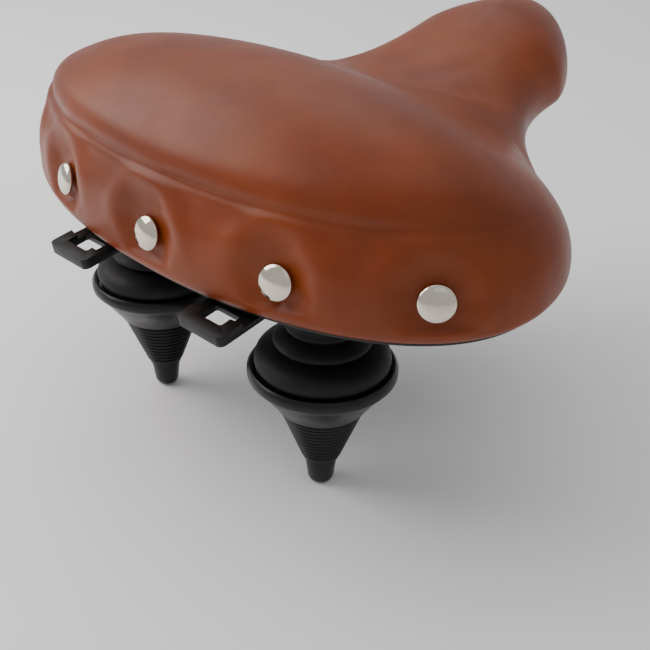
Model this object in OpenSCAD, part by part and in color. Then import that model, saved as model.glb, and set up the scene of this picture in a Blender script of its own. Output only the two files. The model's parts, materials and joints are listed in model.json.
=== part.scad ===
// Wide comfort saddle: a padded cover riveted to a moulded base, carried by two rubber-booted
// coil springs at the rear and a hinge at the nose, on a pair of steel rails with a seatpost clamp.
// The origin is the centre of the clamp's seatpost bore. +X is the rider's right, +Y the nose.

/* [Seat] */
// Length of the cover from rear to nose
seat_l = 260; // [235:1:280]
// Greatest width of the cover, across the rear wings
seat_w = 265; // [240:2:290]
// Distance of the cover's rear edge behind the seatpost
rear_reach = 103; // [96:1:110]
// Height of the cover's rear hem above the centre of the seatpost bore
hem_z = 60; // [56:1:66]
// Slope of the hem, rising towards the nose, in degrees
hem_pitch = 6.8; // [4:0.2:9]
// Height of the widest line above the hem
widest_h = 5.5; // [4:0.5:10]
// Distance by which the cover turns in below the widest line
hem_tuck = 6.5; // [5:0.5:9]
// Thickness of the cover with its backing
cover_t = 2; // [1.5:0.1:3]

/* [Rivets] */
// Diameter of a rivet's cap
rivet_d = 13.2; // [12:0.2:15]
// Rise of a rivet's dome
rivet_rise = 2.8; // [2:0.2:3.6]
// Depth of a rivet's cap below the cover's smooth surface
rivet_sink = 3; // [2:0.5:4]
// Height of the rivets above the hem
rivet_h = 17; // [15:1:20]

/* [Suspension] */
// Distance of each suspension unit from the middle
unit_x = 51; // [50:0.5:53]
// Distance of the units' axis behind the seatpost
unit_y = 58.5; // [56:0.5:61]
// Height of the cone's rim above the centre of the seatpost bore
rim_z = 21.5; // [21:0.5:23]
// Radius of the cone's rim
rim_r = 29.8; // [29:0.2:31]
// Distance from the rim down to the cone's tip
cone_h = 56; // [52:1:60]
// Number of ribs round the cone
ribs = 12; // [8:1:14]
// Height of the rubber bellows
bellows_h = 29.5; // [28:0.5:32]
// Diameter of the spring wire
wire_d = 4; // [3.5:0.5:4.5]
// Mean radius of the spring's coils
coil_r = 9.6; // [9:0.1:10]
// Number of turns of the spring
coil_turns = 4.5; // [4:0.5:5]

/* [Rails] */
// Diameter of the rail rod
rail_d = 7; // [6.8:0.1:7.2]
// Distance between the rails where the clamp grips them
rail_gap = 44; // [42:1:46]
// Height of the rails above the centre of the seatpost bore
rail_z = 16.5; // [16:0.5:17]
// Distance of the nose pivot in front of the seatpost
pivot_y = 107; // [100:1:112]
// Height of the nose pivot above the centre of the seatpost bore
pivot_z = 56; // [52:1:60]

/* [Clamp] */
// Diameter of the seatpost bore
post_d = 22.2; // [22.2, 25.4]
// Height of the clamp's barrel
barrel_h = 35; // [32:1:38]
// Radius of the clamp's jaws
jaw_r = 17; // [16:0.5:18]
// Distance of the cross bolt in front of the seatpost
bolt_y = 23; // [22:0.5:26]
// Diameter of the cross bolt
bolt_d = 8; // [8:1:8]

/* [Loops] */
// Distance of each saddle-bag loop from the middle
loop_x = 39.7; // [38:0.1:42]
// Width of a loop
loop_w = 23.5; // [22:0.5:25]
// Thickness of a loop's bars
loop_bar = 5.4; // [5:0.1:6]

/* [Hidden] */

$fn = 48;
fit = 0.06;        // radial clearance of a shaft that turns or slides
gap = 0.3;         // clearance between pieces that don't touch
sheet_t = 3;       // steel plate and bracket thickness
m6 = 3;            // radius of the guide bolts

// ---- Seat surface -------------------------------------------------------------------------
half_w = seat_w / 2;
rear_y = -rear_reach;
nose_y = seat_l - rear_reach;
slope = tan(hem_pitch);
spine_a = rear_y + 0.215 * seat_l;   // rear end of the crest line
spine_b = rear_y + 0.870 * seat_l;   // front end of the crest line
crest = [72.5, 43, 65.4];            // crest line's heights at the rear, dip and nose, above hem_z
side_power = 3.0;                    // squareness of the side's curve in plan
top_power = 2.25;                    // squareness of the side's curve in height
steps = [8, 12, 14];                 // outline points round the nose, waist and wing
rise_steps = 7;                      // points from the widest line to the crest
lip_steps = 2;                       // points round the turned-in hem

// Cubic curve through a and d, steered by b and c
function curve(a, b, c, d, t) =
  pow(1 - t, 3) * a + 3 * pow(1 - t, 2) * t * b + 3 * (1 - t) * t * t * c + pow(t, 3) * d;

// Ends and handles of the half outline, from the nose to the rear
neck = [44.5, rear_y + 0.799 * seat_l];
wing = [half_w, rear_y + 0.259 * seat_l];
nose_curve = [
  [0, nose_y], [0.43 * neck.x, nose_y], [neck.x, neck.y + 0.24 * (nose_y - neck.y)], neck
];
waist_curve = [
  neck, [neck.x, neck.y - 0.53 * (neck.y - wing.y)],
  [wing.x, wing.y + 0.40 * (neck.y - wing.y)], wing
];
wing_curve = [
  wing, [wing.x, wing.y - 0.57 * (wing.y - rear_y)], [0.62 * wing.x, rear_y], [0, rear_y]
];
function along(c, t) = curve(c[0], c[1], c[2], c[3], t);
half_outline = [
  for (i = [0 : steps[0] - 1]) along(nose_curve, i / steps[0]),
  for (i = [0 : steps[1] - 1]) along(waist_curve, i / steps[1]),
  for (i = [0 : steps[2]]) along(wing_curve, i / steps[2])
];
last = len(half_outline) - 1;

function unit(v) = v / norm(v);
// Round bar of radius r along a path, with flat ends
module tube(path, r, sides) {
  n = len(path) - 1;
  points = [
    for (i = [0 : n])
      let (
        t = unit(path[min(i + 1, n)] - path[max(i - 1, 0)]),
        u = unit(cross([0, 0, 1], t)),
        v = cross(t, u)
      )
      for (k = [0 : sides - 1])
        let (a = 360 * k / sides) path[i] + r * (cos(a) * u + sin(a) * v)
  ];
  skin = [
    for (i = [0 : n - 1], k = [0 : sides - 1])
      let (
        a = i * sides + k, b = i * sides + (k + 1) % sides, c = a + sides, d = b + sides
      )
      each [[a, d, b], [a, c, d]]
  ];
  caps = [[for (k = [0 : sides - 1]) k], [for (k = [sides - 1 : -1 : 0]) n * sides + k]];
  polyhedron(points = points, faces = concat(skin, caps));
}
// Outward direction of the outline at point i
function outward(i) =
  i == 0 ? [0, 1] :
  i == last ? [0, -1] :
  let (d = half_outline[i + 1] - half_outline[i - 1]) unit([-d.y, d.x]);
// Outline point i, moved in by d
function edge(i, d) =
  let (p = half_outline[i] - d * outward(i)) [max(p.x, 0), p.y];
// Outline point where the outward direction is the angle a from straight back
function facing(a) =
  [for (i = [0 : last]) if (i > steps[0] + steps[1] && atan2(outward(i).x, -outward(i).y) >= a) i];

// Place on the crest line, 0 to 1, that the outline height y belongs to
function crest_at(y) =
  let (w = (y - spine_a) / (spine_b - spine_a), k = 6)
  (ln(1 + exp(k * w)) - ln(1 + exp(k * (w - 1)))) / k;
function ease(a, b, t) = a + (b - a) * (1 - cos(180 * t)) / 2;
// Height of the crest line at the place u along it
function crest_z(u) =
  hem_z + (u < 0.5 ? ease(crest[0], crest[1], 2 * u) : ease(crest[1], crest[2], 2 * u - 1));
function hem_at(y) = hem_z + slope * (y - rear_y);
// Point of the upper surface at outline point i and angle a, 90 at the side and 0 at the crest
function upper(i, a, d) =
  let (
    e = edge(i, d),
    u = crest_at(half_outline[i].y),
    c = [0, spine_a + u * (spine_b - spine_a)],
    side_z = hem_at(half_outline[i].y) + widest_h,
    top_z = crest_z(u) - d,
    p = c + pow(sin(a), 2 / side_power) * (e - c)
  )
  [p.x, p.y, side_z + (top_z - side_z) * pow(cos(a), 2 / top_power)];
// Angle at which the upper surface is h above the hem
function angle_at(i, h, d) =
  let (
    u = crest_at(half_outline[i].y),
    side_z = hem_at(half_outline[i].y) + widest_h,
    top_z = crest_z(u) - d
  )
  acos(pow((h - widest_h) / (top_z - side_z), top_power / 2));
// Point of the turned-in hem, b from 0 at the widest line to 90 at the edge
function lip(i, b, d) =
  let (p = edge(i, d + hem_tuck * (1 - cos(b))), y = half_outline[i].y)
  [p.x, p.y, hem_at(y) + widest_h * (1 - sin(b))];
// Line over the surface from the hem's edge to the crest
function cover_rib(i, d) = [
  for (k = [lip_steps : -1 : 1]) lip(i, 90 * k / lip_steps, d),
  for (k = [0 : rise_steps]) upper(i, 90 * (1 - k / rise_steps), d)
];
// The same from the height h above the hem
function pad_rib(i, d, h) = [
  for (k = [0 : rise_steps]) upper(i, angle_at(i, h, d) * (1 - k / rise_steps), d)
];
function flip(p) = [-p.x, p.y, p.z];

// Triangles of a grid of rows by cols points that starts at point s, facing out or in
function grid(rows, cols, s, out) = [
  for (i = [0 : rows - 2], k = [0 : cols - 2])
    let (a = s + i * cols + k, b = a + 1, c = a + cols, d = c + 1)
    for (t = i == 0 ? [[a, b, c], [b, d, c]] : [[a, b, d], [a, d, c]])
      out ? t : [t[2], t[1], t[0]]
];
// Triangles that join column p of one grid to column q of another
function seam(rows, cols, s, p, r, q, out) = [
  for (i = [0 : rows - 2])
    let (a = s + i * cols + p, b = a + cols, c = r + i * cols + q, d = c + cols)
    for (t = i == 0 ? [[a, b, c], [b, d, c]] : [[a, b, d], [a, d, c]])
      out ? t : [t[2], t[1], t[0]]
];
// Triangles across the underside from the first column of one grid to that of its mirror image
function underside(rows, cols, r) = [
  for (i = [0 : rows - 2])
    let (a = i * cols, b = a + cols, c = r + i * cols, d = c + cols)
    each [if (i < rows - 2) [a, b, d], if (i > 0) [a, d, c]]
];

// ---- Cover, pad and rivets ----------------------------------------------------------------
rivet_angles = [0, 13, 40];          // directions in which the rivets face, from straight back
rivet_tilt = 12;
rim_in = 14;                         // distance of the base's rim inside the outline
rim_t = 3;
base_in = 5.5;
base_h = cover_t + 0.4;              // height of the base's underside above the hem
base_t = 3;
pad_h = base_h + base_t + 0.7;

function rivet_index(a) = a == 0 ? last : facing(a)[len(facing(a)) - 1];
module at_rivet(a) {
  i = rivet_index(a);
  n = outward(i);
  p = upper(i, angle_at(i, rivet_h, 0), 0);
  translate(p)
    rotate([0, 0, atan2(n.y, n.x)])
      rotate([0, 90 - rivet_tilt, 0])
        translate([0, 0, -rivet_sink])
          children();
}
module each_rivet() {
  for (a = rivet_angles) {
    at_rivet(a) children();
    if (a > 0) mirror([1, 0, 0]) at_rivet(a) children();
  }
}
// Room for a rivet: the cap's pocket and the shank's hole
module rivet_room() {
  translate([0, 0, -0.6]) cylinder(d = rivet_d + 1.2, h = 20);
  translate([0, 0, -25]) cylinder(r = 2.1, h = 26);
}

module cover() {
  n = last + 1;
  c = lip_steps + rise_steps + 1;
  outer = [for (i = [0 : last]) cover_rib(i, 0)];
  inner = [for (i = [0 : last]) cover_rib(i, cover_t)];
  right = concat([for (r = outer) each r], [for (r = inner) each r]);
  left = [for (p = right) flip(p)];
  s = n * c;
  faces = concat(
    grid(n, c, 0, true), grid(n, c, s, false), seam(n, c, 0, 0, s, 0, true),
    grid(n, c, 2 * s, false), grid(n, c, 3 * s, true), seam(n, c, 2 * s, 0, 3 * s, 0, false)
  );
  color("saddlebrown")
    difference() {
      polyhedron(points = concat(right, left), faces = faces);
      each_rivet() rivet_room();
    }
}

module pad() {
  n = last + 1;
  c = rise_steps + 1;
  right = [for (i = [0 : last]) each pad_rib(i, cover_t + gap, pad_h)];
  left = [for (p = right) flip(p)];
  s = n * c;
  faces = concat(grid(n, c, 0, true), grid(n, c, s, false), underside(n, c, s));
  color("khaki")
    difference() {
      polyhedron(points = concat(right, left), faces = faces);
      base_rim(0.3);
      each_rivet() rivet_room();
      each_unit() translate([0, 0, bolt_top - 14]) cylinder(r = 8.5, h = 16);
      each_rivet() translate([0, 0, -rivet_in - 0.3]) cylinder(r = 5.9, h = 1.8);
    }
}

module rivets() {
  dome_r = (pow(rivet_d / 2, 2) + pow(rivet_rise, 2)) / (2 * rivet_rise);
  color("gainsboro")
    each_rivet() {
      intersection() {
        translate([0, 0, rivet_rise - dome_r]) sphere(r = dome_r, $fn = 64);
        cylinder(d = rivet_d, h = rivet_rise + 1);
      }
      translate([0, 0, -rivet_in]) cylinder(r = 1.9, h = rivet_in + 0.5);
    }
}
rivet_in = rim_in + 1.5;
module rivet_washers() {
  color("silver")
    each_rivet()
      translate([0, 0, -rivet_in])
        difference() {
          cylinder(r = 5.5, h = 1.2);
          translate([0, 0, -1]) cylinder(r = 2, h = 4);
        }
}

// ---- Base ---------------------------------------------------------------------------------
boss_z = rim_z + sheet_t / 2 + bellows_h + 2;   // underside of the bosses over the units
bolt_top = hem_at(-unit_y) + base_h + base_t + 3;

// Things laid out flat and then pitched with the hem
module pitched() {
  translate([0, rear_y, hem_z]) rotate([hem_pitch, 0, 0]) translate([0, -rear_y, 0]) children();
}
// Outline of the seat in the pitched plane, moved in by d
module outline(d) {
  pts = [
    for (i = [0 : last])
      let (p = edge(i, d)) [p.x, rear_y + (p.y - rear_y) / cos(hem_pitch)]
  ];
  polygon(concat(pts, [for (i = [last - 1 : -1 : 1]) [-pts[i].x, pts[i].y]]));
}
module base_rim(extra) {
  pitched()
    translate([0, 0, base_h + base_t - 1])
      linear_extrude(23 + extra)
        intersection() {
          difference() {
            outline(rim_in - extra);
            outline(rim_in + rim_t + extra);
          }
          translate([-200, rear_y - 5]) square([400, 62 + extra]);
        }
}
module base() {
  color("#2b2b2b")
    difference() {
      union() {
        pitched() translate([0, 0, base_h]) linear_extrude(base_t) outline(base_in);
        base_rim(0);
        difference() {
          each_unit()
            translate([0, 0, boss_z]) cylinder(r = 17.5, h = bolt_top - boss_z);
          pitched() translate([-200, rear_y - 10, base_h + base_t - 0.5]) cube([400, 300, 30]);
        }
        pitched()
          translate([-16, pivot_y - 20, base_h - 4]) cube([32, 40, 5]);
      }
      each_unit() translate([0, 0, boss_z - 1]) cylinder(r = m6 + 0.1, h = 40);
      each_unit() translate([0, 0, bolt_top - 3]) cylinder(r = 8, h = 12);
      each_rivet() translate([0, 0, -25]) cylinder(r = 2.05, h = 30);
      at_loop_screws() translate([0, 0, -2]) cylinder(r = 1.75, h = 7.4);
      at_bracket_screws() translate([0, 0, -2]) cylinder(r = 2.1, h = 12);
      each_rivet() translate([0, 0, -rivet_in - 6]) cylinder(r = 5.7, h = 7.2);
    }
}
module hem_trim() {
  color("#151515")
    pitched()
      translate([0, 0, -2.3])
        linear_extrude(1.1)
          difference() {
            outline(hem_tuck - 1.5);
            outline(hem_tuck + 3.5);
          }
}

// ---- Suspension units ---------------------------------------------------------------------
module right_unit() {
  translate([unit_x, -unit_y, 0]) children();
}
module each_unit() {
  right_unit() children();
  mirror([1, 0, 0]) right_unit() children();
}
plate_z = rim_z - sheet_t / 2;
plate_r = 27;

// Outside of the cone below the rim, from the step down to the tip, with its ribs
step_z = rim_z - 16;
cone_end_z = rim_z - 42;
rib_pitch = (step_z - cone_end_z) / ribs;
function cone_r(z) = 7.7 + (17.6 - 7.7) * (z - cone_end_z) / (step_z - cone_end_z);
cone_outside = [
  [rim_r - 1.2, rim_z + 3], [rim_r, rim_z + 1.5], [rim_r, rim_z - 1], [rim_r - 1.6, rim_z - 3],
  [27.4, rim_z - 3.4], [19, step_z + 0.8], [18.6, step_z],
  for (k = [0 : ribs - 1])
    let (z = step_z - k * rib_pitch)
    each [
      [cone_r(z), z], [cone_r(z), z - 0.5 * rib_pitch], [cone_r(z) - 0.8, z - 0.7 * rib_pitch]
    ],
  [7.3, cone_end_z], [7.3, cone_end_z - 1.5], [6.6, cone_end_z - 2],
  [5.4, rim_z - cone_h + 2.5], [4.6, rim_z - cone_h + 0.8], [3, rim_z - cone_h]
];
cone_inside = [
  [2.4, rim_z - cone_h + 4], [4.6, cone_end_z + 1], [14.6, step_z + 1], [22, plate_z - 3.5],
  [22, plate_z], [plate_r + 0.02, plate_z], [plate_r + 0.4, rim_z + 3]
];
module right_cone() {
  color("#1c1c1c")
    difference() {
      right_unit()
        rotate_extrude()
          polygon(concat([[0, rim_z - cone_h]], [[0, rim_z - cone_h + 4]], cone_inside,
            cone_outside));
      translate([unit_x - 8.4, -unit_y + 6, rail_z - 5.2]) cube([10.8, 34, 21]);
    }
}

// Bellows: bulb, large ring and small ring, given as outside points from the bottom up
bellows_z = rim_z + sheet_t / 2;
bellows_side = [
  [24.6, 0], [26.2, 1.2], [27, 3.4], [26.4, 6.2], [24.2, 8.6], [20.6, 10.2], [17.4, 10.9],
  [17.6, 11.4], [19.2, 12], [19.5, 12.8], [18.6, 14.2], [15.6, 16.4], [13.6, 17.4],
  [13.7, 18], [14.8, 18.6], [15, 19.4], [14.2, 21], [13.6, 23.4], [13.6, 25.5], [15.2, 26.5],
  [15.4, 27.6], [15.4, bellows_h]
];
module right_bellows() {
  inside = [for (i = [len(bellows_side) - 1 : -1 : 0]) bellows_side[i] - [1.5, 0]];
  color("#202020")
    right_unit()
      translate([0, 0, bellows_z])
        rotate_extrude() polygon(concat(bellows_side, inside));
}
module right_spring() {
  per_turn = 14;
  low = bellows_z + wire_d / 2 + 0.05;
  high = bellows_z + bellows_h - wire_d / 2 - 0.05;
  path = [
    for (i = [0 : per_turn * coil_turns])
      let (
        a = 360 * i / per_turn,
        t = max(0, min(1, (i / per_turn - 0.75) / (coil_turns - 1.5)))
      )
      [coil_r * cos(a), coil_r * sin(a), low + (high - low) * t]
  ];
  color("dimgray") right_unit() tube(path, wire_d / 2, 8);
}
module right_spring_plate() {
  color("#2a2a2a")
    right_unit()
      translate([0, 0, plate_z])
        difference() {
          cylinder(r = plate_r, h = sheet_t);
          translate([0, 0, -1]) cylinder(r = 6, h = sheet_t + 2);
        }
}
module right_seat_plate() {
  color("#2a2a2a")
    right_unit()
      translate([0, 0, bellows_z + bellows_h])
        difference() {
          cylinder(r = 17.5, h = 2);
          translate([0, 0, -1]) cylinder(r = m6 + 0.1, h = 4);
        }
}
module right_bump_stop() {
  color("#303030")
    right_unit()
      translate([0, 0, bellows_z + bellows_h - 14])
        difference() {
          cylinder(r = 6.4, h = 14);
          translate([0, 0, -1]) cylinder(r = m6 + 0.1, h = 16);
        }
}
guide_end = plate_z - 15;
module guide_bolts() {
  color("silver")
    each_unit() {
      translate([0, 0, guide_end]) cylinder(r = m6, h = bolt_top - 3 - guide_end + 0.5);
      translate([0, 0, bolt_top - 3]) cylinder(r = 5.8, h = 4, $fn = 6);
    }
}
module rebound_stops() {
  color("#303030")
    each_unit()
      translate([0, 0, plate_z - 5])
        difference() {
          cylinder(r = 8, h = 5);
          translate([0, 0, -1]) cylinder(r = m6 + 0.1, h = 7);
        }
}
module guide_nuts() {
  color("silver")
    each_unit()
      difference() {
        union() {
          translate([0, 0, plate_z - 6.5]) cylinder(r = 8, h = 1.5);
          translate([0, 0, plate_z - 12.5]) cylinder(r = 5.5, h = 6, $fn = 6);
        }
        translate([0, 0, plate_z - 14]) cylinder(r = m6 + 0.02, h = 10);
      }
}

// ---- Rails --------------------------------------------------------------------------------
rail_x = rail_gap / 2;
rear_bend = [
  [rail_x, bolt_y - 29.5, rail_z], [rail_x, bolt_y - 44, rail_z],
  [unit_x - 4, -unit_y + 40, rail_z], [unit_x - 3, -unit_y + 13, rail_z]
];
front_bend = [
  [rail_x, bolt_y + 29.5, rail_z], [rail_x, bolt_y + 47, rail_z],
  [9, pivot_y - 22, rail_z + 15], [8, pivot_y - 2, pivot_z - 2]
];
rod_sides = 16;
module bend(c, n) {
  tube([for (i = [0 : n]) along(c, i / n)], rail_d / 2, rod_sides);
}
module right_rail() {
  color("#1a1a1a")
    difference() {
      union() {
        bend(rear_bend, 10);
        bend(front_bend, 12);
        translate(rear_bend[0])
          rotate([-90, 0, 0]) cylinder(d = rail_d, h = front_bend[0].y - rear_bend[0].y);
      }
      translate([-20, pivot_y, pivot_z]) rotate([0, 90, 0]) cylinder(r = sleeve_r + 0.03, h = 50);
      translate([unit_x - 40, -unit_y - 10, plate_z - 0.02]) cube([60, 40, 10]);
    }
}
sleeve_r = 6.5;
sleeve_l = 26;
module along_x(x0, x1, r) {
  translate([x0, 0, 0]) rotate([0, 90, 0]) cylinder(r = r, h = x1 - x0);
}
module at_pivot() {
  translate([0, pivot_y, pivot_z]) children();
}
module nose_sleeve() {
  color("#1a1a1a")
    at_pivot()
      difference() {
        along_x(-sleeve_l / 2, sleeve_l / 2, sleeve_r);
        along_x(-sleeve_l, sleeve_l, bolt_d / 2 + fit);
      }
}

// ---- Nose bracket -------------------------------------------------------------------------
ear_x = sleeve_l / 2 + 1.3;
bracket_top = base_h - 4.05;         // top of the bracket above the hem's plane
module nose_bracket() {
  color("#222222")
    difference() {
      union() {
        pitched() {
          translate([-ear_x - sheet_t, pivot_y - 16, bracket_top - sheet_t])
            cube([2 * (ear_x + sheet_t), 36, sheet_t]);
        }
        for (s = [-1, 1])
          at_pivot()
            intersection() {
              union() {
                along_x(s > 0 ? ear_x : -ear_x - sheet_t, s > 0 ? ear_x + sheet_t : -ear_x, 10);
                translate([s > 0 ? ear_x : -ear_x - sheet_t, -10, 0]) cube([sheet_t, 20, 40]);
              }
              translate([-40, -40, -40]) cube([80, 80, 40 + bracket_room]);
            }
      }
      at_pivot() along_x(-40, 40, bolt_d / 2 + 0.15);
      at_bracket_screws() translate([0, 0, -12]) cylinder(r = 2.2, h = 20);
    }
}
bracket_room = hem_at(pivot_y - 10) + bracket_top - pivot_z - sheet_t / 2;
module at_bracket_screws() {
  for (x = [-9, 9], y = [pivot_y - 11, pivot_y + 15])
    pitched() translate([x, y, bracket_top]) children();
}
module bracket_screws() {
  color("silver")
    at_bracket_screws() {
      translate([0, 0, -sheet_t - 2.5]) cylinder(r = 3.8, h = 2.5);
      translate([0, 0, -sheet_t - 0.5]) cylinder(r = 2, h = sheet_t + 7);
    }
}
module pivot_bolt() {
  color("silver")
    at_pivot() {
      along_x(-ear_x - sheet_t - 0.5, ear_x + sheet_t + 8, bolt_d / 2);
      along_x(-ear_x - sheet_t - 5.5, -ear_x - sheet_t, 7);
    }
}
module pivot_nut() {
  color("silver")
    at_pivot()
      difference() {
        translate([ear_x + sheet_t, 0, 0]) rotate([0, 90, 0]) cylinder(r = 7.2, h = 6.5, $fn = 6);
        along_x(0, 60, bolt_d / 2 + 0.02);
      }
}
module pivot_washers() {
  color("white")
    for (s = [0, 1])
      mirror([s, 0, 0])
        at_pivot()
          difference() {
            along_x(sleeve_l / 2 + 0.15, ear_x - 0.05, 8);
            along_x(0, 40, bolt_d / 2 + 0.15);
          }
}

// ---- Loops --------------------------------------------------------------------------------
loop_root_y = rear_y + 17;
loop_drop = 2;                       // slope of a loop below the hem's plane
loop_out = 25;                       // reach of a loop past the bend
loop_t = 4.4;
loop_slot = 9;                        // length of the strap's slot
tab_l = 9.4;
module at_right_loop() {
  pitched() translate([loop_x, loop_root_y, base_h]) children();
}
module rounded(w, l, r) {
  for (x = [r, w - r], y = [r, l - r]) translate([x, y]) circle(r = r, $fn = 32);
  translate([r, 0]) square([w - 2 * r, l]);
  translate([0, r]) square([w, l - 2 * r]);
}
module right_loop() {
  color("#181818")
    difference() {
      at_right_loop() {
        translate([-loop_w / 2, 0, -4.4]) cube([loop_w, tab_l, 4.35]);
        translate([0, 2, -6.9])
          rotate([loop_drop, 0, 0])
            translate([-loop_w / 2, -loop_out - 2, 0])
              linear_extrude(loop_t)
                difference() {
                  rounded(loop_w, loop_out + 2, 2.5);
                  translate([loop_bar, loop_bar])
                    rounded(loop_w - 2 * loop_bar, loop_slot, 1);
                }
      }
      at_loop_screws() translate([0, 0, -12]) cylinder(r = 1.8, h = 14);
      pitched() translate([-150, rear_y - 40, base_h - 0.05]) cube([300, 100, 20]);
      hem_room();
    }
}
// Room in the loops for the trim and the turned-in hem
module hem_room() {
  pitched()
    translate([0, 0, -2.6])
      linear_extrude(base_h + 3.5)
        difference() {
          outline(hem_tuck - 8);
          outline(hem_tuck + 4);
        }
}
module at_loop_screws() {
  for (s = [0, 1], x = [-6.5, 6.5])
    mirror([s, 0, 0]) at_right_loop() translate([x, 5.6, 0]) children();
}
module loop_screws() {
  color("silver")
    at_loop_screws() {
      translate([0, 0, -6.2]) cylinder(r = 2.8, h = 1.75);
      translate([0, 0, -5]) cylinder(r = 1.7, h = 8);
    }
}

// ---- Seatpost clamp -----------------------------------------------------------------------
bolt_z = rail_z - 11;
boss_x = 13.7;
module at_bolt() {
  translate([0, bolt_y, bolt_z]) children();
}
module clamp_barrel() {
  color("#3a3a3c")
    difference() {
      union() {
        translate([0, 0, -barrel_h / 2]) cylinder(d = post_d + 8, h = barrel_h);
        at_bolt() along_x(-boss_x, boss_x, 12);
        translate([-9, 0, bolt_z - 12]) cube([18, bolt_y, 24]);
      }
      translate([0, 0, -barrel_h]) cylinder(d = post_d, h = 2 * barrel_h);
      translate([-1, 0, -barrel_h]) cube([2, bolt_y + 20, 2 * barrel_h]);
      at_bolt() along_x(-30, 30, bolt_d / 2 + fit);
    }
}
// Jaw plate from x0 to x1, grooved for the rail
module jaw(x0, x1) {
  difference() {
    at_bolt() along_x(x0, x1, jaw_r);
    at_bolt() along_x(x0 - 1, x1 + 1, bolt_d / 2 + 0.2);
    translate([rail_x, bolt_y - 30, rail_z]) rotate([-90, 0, 0]) cylinder(d = rail_d + 2 * fit, h = 60);
  }
}
module right_inner_jaw() {
  color("#4a4a4c") jaw(boss_x + gap, rail_x - 0.5);
}
module right_outer_jaw() {
  color("#4a4a4c") jaw(rail_x + 0.5, rail_x + 6.5);
}
module clamp_washers() {
  color("silver")
    for (s = [0, 1])
      mirror([s, 0, 0])
        at_bolt()
          difference() {
            along_x(rail_x + 6.5, rail_x + 8.1, 8.4);
            along_x(0, 60, bolt_d / 2 + 0.2);
          }
}
module clamp_bolt() {
  color("silver") at_bolt() along_x(-rail_x - 17, rail_x + 17, bolt_d / 2);
}
module clamp_nuts() {
  color("silver")
    for (s = [0, 1])
      mirror([s, 0, 0])
        at_bolt()
          difference() {
            translate([rail_x + 8.1, 0, 0]) rotate([0, 90, 0]) cylinder(r = 7.5, h = 6.5, $fn = 6);
            along_x(0, 60, bolt_d / 2 + 0.02);
          }
}

module left() {
  mirror([1, 0, 0]) children();
}

clamp_barrel();
clamp_bolt();
clamp_nuts();
clamp_washers();
left() right_inner_jaw();  // inner_jaw_left
right_inner_jaw();  // inner_jaw_right
left() right_outer_jaw();  // outer_jaw_left
right_outer_jaw();  // outer_jaw_right
left() right_rail();  // rail_left
right_rail();  // rail_right
nose_sleeve();
left() right_spring_plate();  // spring_plate_left
right_spring_plate();  // spring_plate_right
left() right_cone();  // cone_left
right_cone();  // cone_right
left() right_spring();  // spring_left
right_spring();  // spring_right
left() right_bellows();  // bellows_left
right_bellows();  // bellows_right
base();
pad();
cover();
hem_trim();
rivets();
rivet_washers();
left() right_loop();  // loop_left
right_loop();  // loop_right
loop_screws();
left() right_seat_plate();  // seat_plate_left
right_seat_plate();  // seat_plate_right
left() right_bump_stop();  // bump_stop_left
right_bump_stop();  // bump_stop_right
guide_bolts();
rebound_stops();
guide_nuts();
nose_bracket();
bracket_screws();
pivot_bolt();
pivot_nut();
pivot_washers();
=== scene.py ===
"""Looks of a sprung bicycle saddle: padded brown cover, rubber boots in ribbed cones, rails and clamp."""
import sys
import json
import logging
import math
from dataclasses import dataclass
from enum import Enum
from typing import Sequence

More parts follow.
